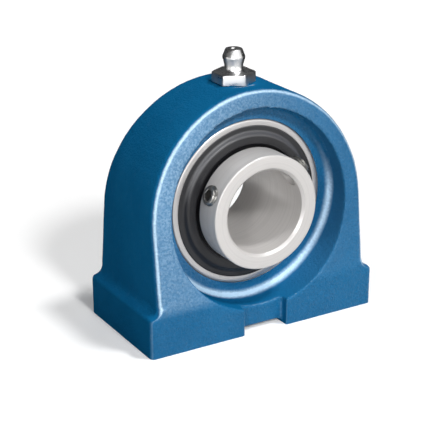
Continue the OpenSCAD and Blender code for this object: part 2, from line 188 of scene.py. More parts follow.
def rounded(corners, steps=5):
    """An outline with arcs at its corners. Each corner is (x, y) or (x, y, arc radius)."""
    outline = []
    count = len(corners)
    for i, corner in enumerate(corners):
        here = Vector(corner[:2])
        if len(corner) < 3:
            outline.append(tuple(here))
            continue
        before = (Vector(corners[i - 1][:2]) - here).normalized()
        after = (Vector(corners[(i + 1) % count][:2]) - here).normalized()
        half = before.angle(after) / 2
        radius = corner[2]
        middle = here + (before + after).normalized() * radius / math.sin(half)
        first = here + before * radius / math.tan(half) - middle
        last = here + after * radius / math.tan(half) - middle
        turn = first.angle_signed(last)
        for k in range(steps + 1):
            point = middle + Matrix.Rotation(-turn * k / steps, 2) @ first
            outline.append(tuple(point))
    return outline


def place(piece, matrix):
    """Moves a new mesh into the row's frame for good. The matrix is in millimetres."""
    metres = matrix.copy()
    metres.translation = matrix.translation * MM
    piece.data.transform(metres)
    return piece


def shaft_frame():
    """The insert's coordinates: x to the right, y up, z to the front, on the shaft's axis."""
    return Matrix.Translation((0, 0, SHAFT_H)) @ Matrix.Rotation(math.radians(90), 4, "X")


def screw_frame(name):
    """Coordinates of a set screw: z outwards along its axis, from the shaft's axis."""
    turn = Matrix.Rotation(math.radians(SCREW_ANGLES[name]), 4, "Z")
    lean = Matrix.Rotation(math.radians(90), 4, "Y")
    return shaft_frame() @ turn @ Matrix.Translation((0, 0, SCREW_Z)) @ lean


def cut(piece, cutter):
    """Takes the cutter out of the piece. The cut faces keep the cutter's material index."""
    boolean = piece.modifiers.new("cut", "BOOLEAN")
    boolean.operation = "DIFFERENCE"
    boolean.solver = "MANIFOLD"
    boolean.object = cutter
    apply_modifiers(piece)
    bpy.data.objects.remove(cutter)


def join(pieces):
    """Joins the later pieces into the first."""
    with bpy.context.temp_override(
        active_object=pieces[0], object=pieces[0], selected_editable_objects=pieces
    ):
        bpy.ops.object.join()


def apply_modifiers(piece):
    """Puts the result of the piece's modifiers in its mesh."""
    bpy.context.view_layer.update()
    made = piece.evaluated_get(bpy.context.evaluated_depsgraph_get())
    mesh = bpy.data.meshes.new_from_object(made)
    piece.modifiers.clear()
    piece.data = mesh


def thread(crest_r, depth, pitch, low, high, lead):
    """Radius of a screw thread at an angle and a height, with bevels at both ends."""
    def radius(angle, z):
        phase = (z / pitch - angle / (2 * math.pi)) % 1.0
        groove = depth * max(0.0, min(1.0, 2.6 * abs(phase - 0.5) - 0.15))
        end = min(z - low, high - z)
        return min(crest_r - groove, crest_r - max(0.0, lead - end))
    return radius


def thread_rings(radius, low, high, pitch, count, steps_per_turn=10):
    """Rings of points over a threaded length."""
    steps = math.ceil((high - low) / pitch * steps_per_turn)
    heights = [low + (high - low) * i / steps for i in range(steps + 1)]
    return [circle(lambda a, z=z: radius(a, z), z, count) for z in heights]


def hexagon(flats, turn=0.0):
    """Radius of a hexagon at an angle, for its width across the flats."""
    def radius(angle):
        beside = (math.degrees(angle) - turn) % 60 - 30
        return flats / 2 / math.cos(math.radians(beside))
    return radius


def finished(piece, material, node, body):
    """Gives a piece its material and puts it in the place of its solid, on the moving body."""
    piece.data.materials.clear()
    piece.data.materials.append(material)
    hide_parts(node)
    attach(piece, body)


def dress(material, *nodes):
    """Shows the solids of those nodes as they are, in that material."""
    for name in nodes:
        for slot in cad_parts[name].material_slots:
            slot.material = material


# Material tools

class Shader:
    """A new material, with short ways to add nodes to it and to join them."""

    def __init__(self, name, **inputs):
        self.material = bpy.data.materials.new(name)
        self.material.use_nodes = True
        self.tree = self.material.node_tree
        self.surface = self.tree.nodes["Principled BSDF"]
        for key, value in inputs.items():
            self.surface.inputs[key.replace("_", " ")].default_value = value

    def node(self, kind, settings=None, **inputs):
        """Adds a node. An input is a value or another node's output."""
        made = self.tree.nodes.new(kind)
        for key, value in (settings or {}).items():
            setattr(made, key, value)
        for key, value in inputs.items():
            self.join(value, made.inputs[key.replace("_", " ")])
        return made

    def join(self, value, socket):
        """Links another node's output to the socket, or sets the socket to a value."""
        if isinstance(value, bpy.types.NodeSocket):
            self.tree.links.new(value, socket)
        else:
            socket.default_value = value

    def coordinates(self):
        """The point in the piece's own coordinates, in metres."""
        return self.node("ShaderNodeTexCoord").outputs["Object"]

    def separate(self, vector):
        """The x, y and z of a vector."""
        return tuple(self.node("ShaderNodeSeparateXYZ", Vector=vector).outputs)

    def facing(self):
        """The x, y and z of the surface's own normal."""
        return self.separate(self.node("ShaderNodeNewGeometry").outputs["Normal"])

    def math(self, operation, first, *others):
        """One operation over two or more values, from left to right."""
        for other in others:
            made = self.node("ShaderNodeMath", {"operation": operation})
            self.join(first, made.inputs[0])
            self.join(other, made.inputs[1])
            first = made.outputs[0]
        return first

    def absolute(self, value):
        return self.node("ShaderNodeMath", {"operation": "ABSOLUTE"}, Value=value).outputs[0]

    def shaft_radius(self, vector):
        """Distance from the shaft's axis."""
        x, _, z = self.separate(vector)
        across = self.node("ShaderNodeCombineXYZ", X=x, Z=self.math("SUBTRACT", z, SHAFT_H * MM))
        return self.length(across.outputs[0])

    def length(self, vector):
        made = self.node("ShaderNodeVectorMath", {"operation": "LENGTH"}, Vector=vector)
        return made.outputs["Value"]

    def noise(self, vector, scale, detail=3.0, roughness=0.5):
        made = self.node(
            "ShaderNodeTexNoise", Vector=vector, Scale=scale, Detail=detail, Roughness=roughness
        )
        return made.outputs["Fac"]

    def span(self, value, low, high, new_low, new_high):
        """Value mapped smoothly from one span to another."""
        made = self.node("ShaderNodeMapRange", {"interpolation_type": "SMOOTHSTEP"})
        for key, number in (
            ("Value", value),
            ("From Min", low),
            ("From Max", high),
            ("To Min", new_low),
            ("To Max", new_high),
        ):
            self.join(number, made.inputs[key])
        return made.outputs["Result"]

    def mix(self, factor, a, b):
        """A colour between a and b."""
        made = self.node("ShaderNodeMix", {"data_type": "RGBA"})
        self.join(factor, made.inputs["Factor"])
        self.join((*a, 1.0) if isinstance(a, tuple) else a, made.inputs[6])
        self.join((*b, 1.0) if isinstance(b, tuple) else b, made.inputs[7])
        return made.outputs[2]

    def bump(self, height, depth, strength=1.0, normal=None):
        """Bump of that depth in metres, on top of an earlier bump's normal."""
        made = self.node("ShaderNodeBump", Height=height, Distance=depth, Strength=strength)
        if normal is not None:
            self.join(normal, made.inputs["Normal"])
        return made.outputs["Normal"]

    def finish(self, **sockets):
        """Joins values to the surface's sockets, and gives the material."""
        for key, value in sockets.items():
            self.join(value, self.surface.inputs[key.replace("_", " ")])
        return self.material


def painted_highlights(s, position, frontal, grain):
    """How much painted highlight goes into the enamel's colour: painted highlights on the rounded
    edges and on the recess's fillet, a painted sheen on the arch's face and painted light on the
    recess's right wall. The value of frontal is 1 on faces square to the shaft and 0 on the walls
    round it."""
    across, depth, height = s.separate(position)
    above_foot = s.span(height, (FOOT_H - 1.0) * MM, (FOOT_H + 3.0) * MM, 0.0, 1.0)
    upward = s.span(s.facing()[2], -0.35, 0.1, 0.0, 1.0)
    lean = s.math("MULTIPLY", s.math("SUBTRACT", height, FOOT_H * MM), FACE_LEAN)
    level = s.math("ADD", s.absolute(depth), s.math("MAXIMUM", lean, 0.0))
    in_recess = s.span(level, (FACE_Y - 4.0) * MM, (FACE_Y - 3.0) * MM, 1.0, 0.0)
    radius = s.shaft_radius(position)
    outside = s.span(radius, (RECESS_R + 1.2) * MM, (RECESS_R + 1.8) * MM, 0.0, 1.0)
    # A painted highlight on the fillet between the recess's wall and its floor
    fillet = s.math(
        "MULTIPLY",
        s.span(frontal, 0.0, 0.75, 0.0, 1.0),
        s.span(frontal, 0.7, 1.0, 1.0, 0.0),
        upward,
        in_recess,
        s.span(across, -15 * MM, 25 * MM, 1.5, 1.05),
    )
    # Painted highlights on the rounded outer edges, strongly on the arch and faintly on the foot
    edge = s.math(
        "MULTIPLY",
        s.span(frontal, 0.4, 0.75, 0.0, 1.0),
        s.span(frontal, 0.75, 0.96, 1.0, 0.0),
        upward,
        outside,
        s.span(above_foot, 0.0, 1.0, 0.12, 1.0),
        s.span(across, -20 * MM, 34 * MM, 1.0, 0.6),
    )
    # A painted sheen on the arch's face, paler towards its left and its top, and much less on the
    # recess's floor
    face = s.math(
        "MULTIPLY",
        s.span(frontal, 0.6, 0.9, 0.0, 1.0),
        above_foot,
        s.span(in_recess, 0.0, 1.0, 1.0, 0.25),
        s.span(height, FOOT_H * MM, 66 * MM, 0.65, 1.15),
        s.span(across, -34 * MM, 32 * MM, 0.25, 0.03),
        s.span(grain, 0.3, 0.7, 0.7, 1.3),
    )
    # Painted light on the right side of the recess's wall
    wall = s.math(
        "MULTIPLY",
        s.span(frontal, 0.3, 0.6, 1.0, 0.0),
        s.span(outside, 0.0, 1.0, 1.0, 0.0),
        s.span(across, 0.0, 25 * MM, 0.0, 0.035),
    )
    return s.math("MAXIMUM", edge, fillet, face, wall)


def enamel():
    """Blue enamel over a sand casting, with its grain and its slow changes of depth, and with
    highlights and a sheen painted paler into its colour.
    """
    s = Shader("enamel", IOR=1.45, Specular_Tint=(0.75, 0.93, 1.0, 1.0))
    position = s.coordinates()
    grain = s.noise(position, 1500.0, 2.0, 0.6)
    lumps = s.noise(position, 420.0, 2.0, 0.5)
    clouds = s.noise(position, 45.0, 3.0, 0.55)
    frontal = s.absolute(s.facing()[1])
    painted_highlight_mask = painted_highlights(s, position, frontal, grain)
    # Painted highlights, broken up by the grain, mix the blue towards a pale blue
    pale = s.math("MULTIPLY", painted_highlight_mask, s.span(grain, 0.3, 0.7, 0.84, 1.12))
    deep = s.mix(s.span(clouds, 0.3, 0.7, 0.0, 1.0), (0.004, 0.11, 0.26), (0.006, 0.13, 0.3))
    colour = s.mix(pale, deep, (0.58, 0.8, 1.0))
    rough = s.span(lumps, 0.3, 0.7, 0.3, 0.24)
    gloss = s.span(frontal, 0.15, 0.5, 0.0, 0.3)
    normal = s.bump(lumps, 0.00025, 0.6)
    normal = s.bump(grain, 0.0003, 0.9, normal)
    return s.finish(Base_Color=colour, Roughness=rough, Specular_IOR_Level=gloss, Normal=normal)


def turned_steel(name, base, rough, metallic):
    """Steel with the fine rings that turning or grinding leaves round the shaft's axis. Painted
    shade darkens it nearly to black in the undercuts beside the seals and on the outer ring's rims."""
    s = Shader(name, Metallic=metallic)
    position = s.coordinates()
    radius = s.shaft_radius(position)
    along = s.separate(position)[1]
    rings = s.node("ShaderNodeCombineXYZ", X=radius, Y=along).outputs[0]
    fine = s.noise(rings, 9000.0, 2.0, 0.6)
    wide = s.noise(rings, 1800.0, 2.0, 0.5)
    stain = s.noise(position, 160.0, 3.0, 0.5)
    darker = tuple(0.93 * c for c in base)
    clean = s.mix(s.span(wide, 0.3, 0.7, 0.0, 1.0), darker, base)
    from_middle = s.absolute(along)
    # Painted shade in the undercuts beside the seals, where shade falls in the gap at the collar
    undercut_shade = s.math(
        "MULTIPLY",
        s.span(radius, (COLLAR_R - 0.3) * MM, (COLLAR_R - 0.1) * MM, 1.0, 0.0),
        s.span(radius, (BORE_R + 1.5) * MM, (BORE_R + 2.0) * MM, 0.0, 1.0),
        s.span(from_middle, (UNDERCUT_END - 0.1) * MM, (UNDERCUT_END + 0.1) * MM, 1.0, 0.0),
    )
    # Painted shade on the outer ring's rims and its spherical outside
    rim = s.span(radius, (RING_FACE_R - 0.3) * MM, (RING_FACE_R + 0.1) * MM, 0.0, 0.8)
    colour = s.mix(s.math("MAXIMUM", undercut_shade, rim), clean, (0.01, 0.01, 0.012))
    worn = s.math("ADD", s.math("MULTIPLY", fine, 0.16), s.math("MULTIPLY", stain, 0.08))
    roughness = s.math("ADD", worn, rough - 0.12)
    normal = s.bump(fine, 0.000004, 0.5)
    return s.finish(Base_Color=colour, Roughness=roughness, Normal=normal)


def worked_metal(name, base, rough, scale=700.0, depth=0.00001, metallic=1.0):
    """Plated, drawn or pressed metal with a faint uneven surface."""
    s = Shader(name, Metallic=metallic)
    position = s.coordinates()
    fine = s.noise(position, scale, 3.0, 0.6)
    stain = s.noise(position, scale / 6, 2.0, 0.5)
    darker = tuple(0.75 * c for c in base)
    colour = s.mix(s.span(stain, 0.35, 0.65, 0.0, 1.0), darker, base)
    roughness = s.span(fine, 0.3, 0.7, rough * 0.8, rough * 1.3)
    return s.finish(Base_Color=colour, Roughness=roughness, Normal=s.bump(fine, depth, 0.6))


def moulded(name, base, rough, dust_and_highlight=0.0, grain=1600.0, depth=0.00002):
    """Moulded rubber or polyamide with a fine even grain. It is painted paler where it faces up:
    dust, and a painted highlight where the light falls on its top.
    """
    s = Shader(name, IOR=1.42)
    position = s.coordinates()
    fine = s.noise(position, grain, 2.0, 0.5)
    bloom = s.noise(position, 120.0, 3.0, 0.55)
    lighter = tuple(1.3 * c for c in base)
    clean = s.mix(s.span(bloom, 0.35, 0.7, 0.0, 1.0), base, lighter)
    # Dust and painted highlight: upward faces are mixed towards a pale grey
    upward_dust_and_highlight = s.span(s.facing()[2], 0.05, 0.5, 0.0, dust_and_highlight)
    colour = s.mix(upward_dust_and_highlight, clean, (0.5, 0.5, 0.52))
    roughness = s.span(bloom, 0.3, 0.7, rough * 0.9, rough * 1.15)
    return s.finish(Base_Color=colour, Roughness=roughness, Normal=s.bump(fine, depth, 0.5))


def bare_iron():
    """Machined cast iron: grey, with cutter marks and dark graphite specks."""
    s = Shader("bare_iron", Metallic=1.0)
    position = s.coordinates()
    x, y, z = s.separate(position)
    drawn_out = s.node("ShaderNodeCombineXYZ", X=x, Y=s.math("MULTIPLY", y, 0.02), Z=z)
    marks = s.noise(drawn_out.outputs[0], 2500.0, 2.0, 0.6)
    specks = s.noise(position, 2600.0, 2.0, 0.7)
    dark = s.span(specks, 0.58, 0.68, 0.0, 1.0)
    colour = s.mix(dark, (0.42, 0.41, 0.4), (0.16, 0.155, 0.15))
    roughness = s.span(marks, 0.3, 0.7, 0.34, 0.5)
    return s.finish(Base_Color=colour, Roughness=roughness, Normal=s.bump(marks, 0.00001, 0.5))


# Housing

ENAMEL_INDEX = 0
BARE_INDEX = 1


def plug(name, r, low, high):
    """A plain cylinder along z that fills a hole before the casting is remeshed."""
    return loft(name, capped([circle(r, z, 64) for z in (low, high)]))


def fillings(base_stock):
    """Plugs for the base holes, the nipple's hole and the seat, which machining opens again."""
    hole_r, hole_low, hole_high = HOLE_R + 0.5, 0.1 - base_stock, HOLE_DEPTH + 5.0
    seat_half = RING_HALF - 0.05
    plugs = [
        place(plug("hole_stock", hole_r, hole_low, hole_high), Matrix.Translation((side * HOLE_X, 0, 0)))
        for side in (-1, 1)
    ]
    plugs.append(plug("nipple_stock", M6_HOLE_R + 0.6, 64.0, NIPPLE_SEAT_H - 0.1))
    plugs.append(place(plug("seat_stock", SEAT_R + 1.15, -seat_half, seat_half), shaft_frame()))
    return plugs


def cast_blank():
    """The housing as it leaves the sand: holes and seat still closed, every edge softened."""
    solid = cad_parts["housing"]
    blank = solid.copy()
    blank.data = solid.data.copy()
    blank.name = "housing_casting"
    blank.parent = None
    bpy.context.scene.collection.objects.link(blank)
    # Stock under the base, which machining takes off again
    base_stock = 1.5
    for vertex in blank.data.vertices:
        if vertex.co.z < 0.5 * MM:
            vertex.co.z -= base_stock * MM
    join([blank] + fillings(base_stock))
    remesh = blank.modifiers.new("remesh", "REMESH")
    remesh.mode = "VOXEL"
    remesh.voxel_size = 0.4 * MM
    smooth = blank.modifiers.new("smooth", "SMOOTH")
    smooth.factor = 0.5
    smooth.iterations = 8
    apply_modifiers(blank)
    return blank


def roughen(piece, sizes_and_depths):
    """Sinks each point along its normal by noise, as sand leaves a casting."""
    mesh = piece.data
    normals = [v.normal.copy() for v in mesh.vertices]
    for vertex, normal in zip(mesh.vertices, normals):
        sunk = sum(
            depth * (1 + noise.noise(vertex.co / (size * MM))) for size, depth in sizes_and_depths
        )
        vertex.co -= normal * sunk * MM


def machining_cutter(piece, enamelled_above=1000.0):
    """Marks a cutter, so that the faces it leaves are bare metal up to that height."""
    piece.data.materials.clear()
    for _ in range(2):
        piece.data.materials.append(None)
    for polygon in piece.data.polygons:
        enamelled = polygon.center.z > enamelled_above * MM
        polygon.material_index = ENAMEL_INDEX if enamelled else BARE_INDEX
    return piece


def seat_cutter():
    """The spherical seat with its grease groove, open through both recess floors."""
    groove_half = 5.0
    groove_r = SEAT_R + 0.8
    end = RING_HALF + 0.3
    outline = []
    steps = 24
    for side in (-1, 1):
        for i in range(steps + 1):
            z = side * (groove_half + (end - groove_half) * (i if side > 0 else steps - i) / steps)
            outline.append((math.sqrt(SEAT_R * SEAT_R - z * z), z))
        if side < 0:
            outline += [(groove_r, -groove_half), (groove_r, groove_half)]
    rings = [circle(r, z, 192) for r, z in outline]
    return place(loft("seat_cutter", capped(rings)), shaft_frame())


def loading_slot_cutter():
    """The two slots at the rear of the seat that let the insert in edgewise."""
    slot_r = SEAT_R + 0.3
    half = RING_HALF + 0.3
    reach = math.sqrt(slot_r * slot_r - half * half)
    span = math.atan2(half, reach)
    steps = 10
    angles = [-span + 2 * span * i / steps for i in range(steps + 1)]
    outline = [(slot_r * math.cos(a), slot_r * math.sin(a)) for a in angles]
    outline += [(-x, -y) for x, y in outline]
    rings = [[(x, y, z) for x, y in outline] for z in (-RING_HALF - 0.5, 0.0)]
    return place(loft("slot_cutter", capped(rings)), shaft_frame())


def base_hole_cutter(side):
    """A tapped M10 hole with a countersunk mouth and a drill point."""
    depth, pitch, low, count = 0.75, 1.5, -2.0, 48
    mouth_r, drill_r = 5.4, HOLE_R - depth
    drill_point = HOLE_DEPTH + drill_r / math.tan(math.radians(59))
    radius = thread(HOLE_R, depth, pitch, low, HOLE_DEPTH, 0.0)
    rings = [[(0, 0, low)]]
    for ring in thread_rings(radius, low, HOLE_DEPTH, pitch, count):
        countersink_r = mouth_r - ring[0][2]
        rings.append([widened(p, countersink_r) for p in ring])
    rings += [circle(drill_r, HOLE_DEPTH, count), [(0, 0, drill_point)]]
    return place(loft("hole_cutter", rings), Matrix.Translation((side * HOLE_X, 0, 0)))


def widened(point, least_r):
    """The point moved out to at least a radius from the z axis."""
    x, y, z = point
    grow = max(1.0, least_r / math.hypot(x, y))
    return (x * grow, y * grow, z)


def crown_cutter():
    """The spot face under the nipple, its hole and the passage down to the seat."""
    passage_r, spot_face_r = 1.5, 6.85
    low, high = 60.0, 75.0
    bottom = NIPPLE_SEAT_H - NIPPLE_SHANK - 0.4
    outline = [
        (passage_r, low),
        (passage_r, bottom),
        (M6_HOLE_R, bottom),
        (M6_HOLE_R, NIPPLE_SEAT_H),
        (spot_face_r, NIPPLE_SEAT_H),
        (spot_face_r, high),
    ]
    return loft("crown_cutter", capped([circle(r, z, 64) for r, z in outline]))


def base_cutter():
    """A block under the mounting face."""
    corners = [(60, 40), (-60, 40), (-60, -40), (60, -40)]
    return loft("base_cutter", capped([[(x, y, z) for x, y in corners] for z in (-6.0, 0.0)]))


def housing():
    """The enamelled casting, machined at its base, seat, holes and nipple seat."""
    casting = cast_blank()
    roughen(casting, [(6.0, 0.05), (1.6, 0.03)])
    casting.data.materials.clear()
    casting.data.materials.append(enamel())
    casting.data.materials.append(bare_iron())
    cutters = [base_cutter(), seat_cutter(), loading_slot_cutter()]
    cutters += [base_hole_cutter(side) for side in (-1, 1)]
    for cutter in cutters:
        cut(casting, machining_cutter(cutter))
    cut(casting, machining_cutter(crown_cutter(), NIPPLE_SEAT_H - 0.1))
    shade(casting, 50.0)
    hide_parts("housing")
    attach(casting, "housing")


# Bearing rings

def drill(name, r, low, high, mouth=0.0):
    """A cutter for a round hole along z, widened at its upper end by the mouth's bevel."""
    outline = [(r, low), (r, high - mouth), (r + 2 * mouth, high + mouth)]
    return loft(name, capped([circle(radius, z, 48) for radius, z in outline]))


def outer_ring(steel):
    """Spherical outside with rounded rims, a raceway and the seats of the two seals."""
    race_r = PITCH_R + BALL_R + BALL_GAP
    shoulder_r = race_r - SHOULDER_H
    rim, lube_r = 0.9, 0.75
    face = math.degrees(math.asin((RING_HALF - rim) / INSERT_R))
    groove = math.degrees(math.acos(1 - SHOULDER_H / GROOVE_R))
    outline = arc(0.0, INSERT_R, -face, face, 40)
    outline += [
        (RING_FACE_R, RING_HALF, rim),
        (SEAL_SEAT_R, RING_HALF, 0.12),
        (SEAL_SEAT_R, SEAL_LEDGE),
        (shoulder_r, SEAL_LEDGE, 0.1),
    ]
    outline += arc(race_r - GROOVE_R, GROOVE_R, groove, -groove, 24)
    outline += [
        (shoulder_r, -SEAL_LEDGE, 0.1),
        (SEAL_SEAT_R, -SEAL_LEDGE),
        (SEAL_SEAT_R, -RING_HALF, 0.12),
        (RING_FACE_R, -RING_HALF, rim),
    ]
    ring = lathe("outer_ring_turned", rounded(outline), 256)
    lube_z = (SHOULDER_END + GROOVE_R * math.sin(math.radians(groove))) / 2
    for side in (-1, 1):
        turn = Matrix.Rotation(math.radians(90 + side * 60), 4, "Z")
        lean = Matrix.Translation((0, 0, side * lube_z)) @ Matrix.Rotation(math.radians(90), 4, "Y")
        cut(ring, place(drill("lube_hole", lube_r, shoulder_r - 1, INSERT_R + 1), turn @ lean))
    shade(ring, 35.0)
    finished(place(ring, shaft_frame()), steel, "outer_ring", "insert")


def inner_ring(steel):
    """Wide ring with a bevelled bore, a raceway, undercuts and two holes for the set screws."""
    race_r = PITCH_R - BALL_R - BALL_GAP
    shoulder_r = race_r + SHOULDER_H
    groove = math.degrees(math.acos(1 - SHOULDER_H / GROOVE_R))
    bevel = 0.77
    outline = [
        (BORE_R + bevel, -REAR_REACH, 0.15),
        (COLLAR_R, -REAR_REACH, 0.45),
        (COLLAR_R, -UNDERCUT_END, 0.1),
        (LIP_LAND_R, -UNDERCUT_END, 0.25),
        (LIP_LAND_R, -SHOULDER_END),
        (shoulder_r, -SHOULDER_END, 0.1),
    ]
    outline += arc(race_r + GROOVE_R, GROOVE_R, 180 + groove, 180 - groove, 24)
    outline += [
        (shoulder_r, SHOULDER_END, 0.1),
        (LIP_LAND_R, SHOULDER_END),
        (LIP_LAND_R, UNDERCUT_END, 0.25),
        (COLLAR_R, UNDERCUT_END, 0.1),
        (COLLAR_R, FRONT_REACH, 0.45),
        (BORE_R + bevel, FRONT_REACH, 0.15),
        (BORE_R, FRONT_REACH - bevel, 0.15),
        (BORE_R, bevel - REAR_REACH, 0.15),
    ]
    ring = lathe("inner_ring_turned", rounded(outline), 256)
    for name, angle in SCREW_ANGLES.items():
        turn = Matrix.Rotation(math.radians(angle), 4, "Z")
        lean = Matrix.Translation((0, 0, SCREW_Z)) @ Matrix.Rotation(math.radians(90), 4, "Y")
        cutter = drill(name + "_hole", M6_HOLE_R, BORE_R - 2, COLLAR_R, 0.2)
        cut(ring, place(cutter, turn @ lean))
    shade(ring, 35.0)
    finished(place(ring, shaft_frame()), steel, "inner_ring", "inner_ring")


# Seals

def step_shift(depth):
    """How far the step's corners move in at a depth under the facing, to keep its thickness."""
    run = (STEP_OUT - STEP_IN) * (SEAL_OUT_R - SEAL_IN_R)
    return depth * math.tan(math.atan(SEAL_STEP / run) / 2)


def seal(rubber, name, turn):
    """The rubber facing and lip: a flat rim, a rounded step and a raised middle."""
    width = SEAL_OUT_R - SEAL_IN_R
    step_in = SEAL_IN_R + STEP_IN * width
    step_out = SEAL_IN_R + STEP_OUT * width
    edge = 0.5
    crown_back = SEAL_CROWN - RUBBER_T - PLATE_T
    rim_back = SEAL_RIM - RUBBER_T - PLATE_T
    plate_in, plate_out = SEAL_IN_R + edge, SEAL_OUT_R - edge
    tip_r, tip = LIP_LAND_R + 0.05, crown_back - 0.5 * RUBBER_T
    outline = [
        (SEAL_OUT_R, SEAL_LEDGE),
        (SEAL_OUT_R, SEAL_RIM, 0.3),
        (step_out, SEAL_RIM, 1.2),
        (step_in, SEAL_CROWN, 1.2),
        (SEAL_IN_R, SEAL_CROWN, 0.35),
        (SEAL_IN_R, crown_back),
        (tip_r, tip, 0.1),
        (tip_r, tip - 0.3),
        (SEAL_IN_R + edge, crown_back - 0.3),
        (SEAL_IN_R + 2 * edge, crown_back),
        (plate_in, crown_back),
        (plate_in, SEAL_CROWN - RUBBER_T),
        (step_in - step_shift(RUBBER_T), SEAL_CROWN - RUBBER_T),
        (step_out - step_shift(RUBBER_T), SEAL_RIM - RUBBER_T),
        (plate_out, SEAL_RIM - RUBBER_T),
        (plate_out, rim_back),
        (SEAL_OUT_R - 2 * edge, rim_back),
        (SEAL_OUT_R - 2 * edge, SEAL_LEDGE),
    ]
    ring = lathe(name + "_moulded", rounded(outline, 8), 192)
    place(ring, shaft_frame() @ Matrix.Rotation(math.radians(turn), 4, "Y"))
    finished(ring, rubber, name, "insert")


# Set screws and nipple

def set_screw(steel, name):
    """A threaded M6 set screw with a hexagon socket outwards and a cup point on the shaft."""
    high = SCREW_TOPS[name]
    low = high - SCREW_LENGTH
    cup_r, flats, mouth, count = 1.5, 3.0, 0.2, 48
    socket_floor = high - 2.4
    radius = thread(M6_HOLE_R - THREAD_GAP, M6_DEPTH, M6_PITCH, low, high, 0.5)
    rings = [[(0, 0, low + cup_r)], circle(cup_r, low, count)]
    rings += thread_rings(radius, low, high, M6_PITCH, count)
    rings += [
        circle(hexagon(flats + 2 * mouth), high, count),
        circle(hexagon(flats), high - mouth, count),
        circle(hexagon(flats), socket_floor, count),
        [(0, 0, socket_floor - 0.6)],
    ]
    screw = loft(name + "_threaded", rings)
    finished(place(screw, screw_frame(name)), steel, name, name)


def nipple_shank():
    """Rings of the threaded shank and of the relief under the hexagon."""
    relief_r, relief_low = 2.4, -0.6
    radius = thread(M6_HOLE_R - THREAD_GAP, M6_DEPTH, M6_PITCH, -NIPPLE_SHANK, relief_low, 0.5)
    rings = thread_rings(radius, -NIPPLE_SHANK, relief_low, M6_PITCH, NIPPLE_COUNT)
    return rings + [circle(relief_r, z, NIPPLE_COUNT) for z in (relief_low, 0.0)]


def nipple_hexagon():
    """Rings of the hexagon. Its edges are broken, and its corners are turned to a radius."""
    flats = hexagon(11.0, 30.0)
    corner_r = 6.28

    def ring(z, flat_inset=0.0, corner_inset=0.0):
        limit = corner_r - corner_inset
        return circle(lambda a: min(flats(a) - flat_inset, limit), z, NIPPLE_COUNT)

    return [
        ring(0.0, 0.12, 0.18),
        ring(0.12),
        ring(0.25),
        ring(NIPPLE_HEX_H - 0.3),
        ring(NIPPLE_HEX_H - 0.15),
        ring(NIPPLE_HEX_H - 0.1, 0.02, 0.08),
        ring(NIPPLE_HEX_H, 0.12, 0.23),
    ]


def nipple_head():
    """Rings of the flare over the hexagon, the neck, the barrel head and the mouth."""
    neck_r, flare_w, flare_top = 2.7, 0.9, 0.51 * NIPPLE_TOP
    head_r, head_low, head_high = 3.25, 0.73 * NIPPLE_TOP, 0.78 * NIPPLE_TOP
    cone_r, lip_r, mouth_r, throat_r = 2.45, 2.0, 1.1, 0.9
    steps = 8
    flare = []
    for i in range(steps + 1):
        turn = math.radians(90 * i / steps)
        r = neck_r + flare_w * (1 - math.sin(turn))
        flare.append((r, flare_top - (flare_top - NIPPLE_HEX_H) * math.cos(turn)))
    barrel = rounded([
        (neck_r, flare_top),
        (head_r, head_low, 0.5),
        (head_r, head_high, 0.5),
        (cone_r, NIPPLE_TOP - 0.12, 0.4),
        (lip_r, NIPPLE_TOP, 0.3),
        (mouth_r, NIPPLE_TOP, 0.2),
        (throat_r, NIPPLE_TOP - 0.6),
    ])
    return [circle(r, z, NIPPLE_COUNT) for r, z in flare + barrel[1:]]


def nipple_chamber():
    """Rings of the hollow inside, down from the ball's seat to the outlet."""
    chamber_r, outlet_r, ball_seat, spring_stop = 1.6, 0.95, NIPPLE_TOP - 0.6, -4.4
    outline = [
        (chamber_r, ball_seat),
        (chamber_r, spring_stop),
        (outlet_r, spring_stop),
        (outlet_r, -NIPPLE_SHANK),
    ]
    return [circle(r, z, NIPPLE_COUNT) for r, z in outline]


def nipple(plating):
    """Grease nipple: threaded shank, hexagon, flared neck, barrel head and hollow inside."""
    rings = nipple_shank() + nipple_hexagon() + nipple_head() + nipple_chamber()
    body = loft("nipple_turned", rings, closed=True, sharp_angle=25.0)
    place(body, Matrix.Translation((0, 0, NIPPLE_SEAT_H)))
    finished(body, plating, "nipple_body", "housing")


def nipple_spring(wire):
    """Coil spring under the check ball, with a closed turn at each end."""
    wire_r, coil_r, turns, steps = 0.2, 1.15, 7, 36
    foot, top = (corner.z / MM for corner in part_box("nipple_spring"))
    closed = 2.2 * wire_r
    open_turn = (top - foot - 2 * wire_r - 2 * closed) / (turns - 2)
    section = circle(wire_r, 0.0, 12)
    middles = []
    rings = []
    for i in range(steps * turns + 1):
        n = i / steps
        height = foot + wire_r + closed * (min(n, 1) + max(0, n - turns + 1))
        height += open_turn * max(0, min(n, turns - 1) - 1)
        turn = Matrix.Rotation(2 * math.pi * n, 3, "Z")
        middles.append(turn @ Vector((coil_r, 0, height)))
        rings.append([turn @ Vector((coil_r + x, 0, height - y)) for x, y, _ in section])
    coil = loft("nipple_spring_coiled", [[middles[0]]] + rings + [[middles[-1]]])
    finished(coil, wire, "nipple_spring", "housing")
    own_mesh(coil)


# Floor, light and camera

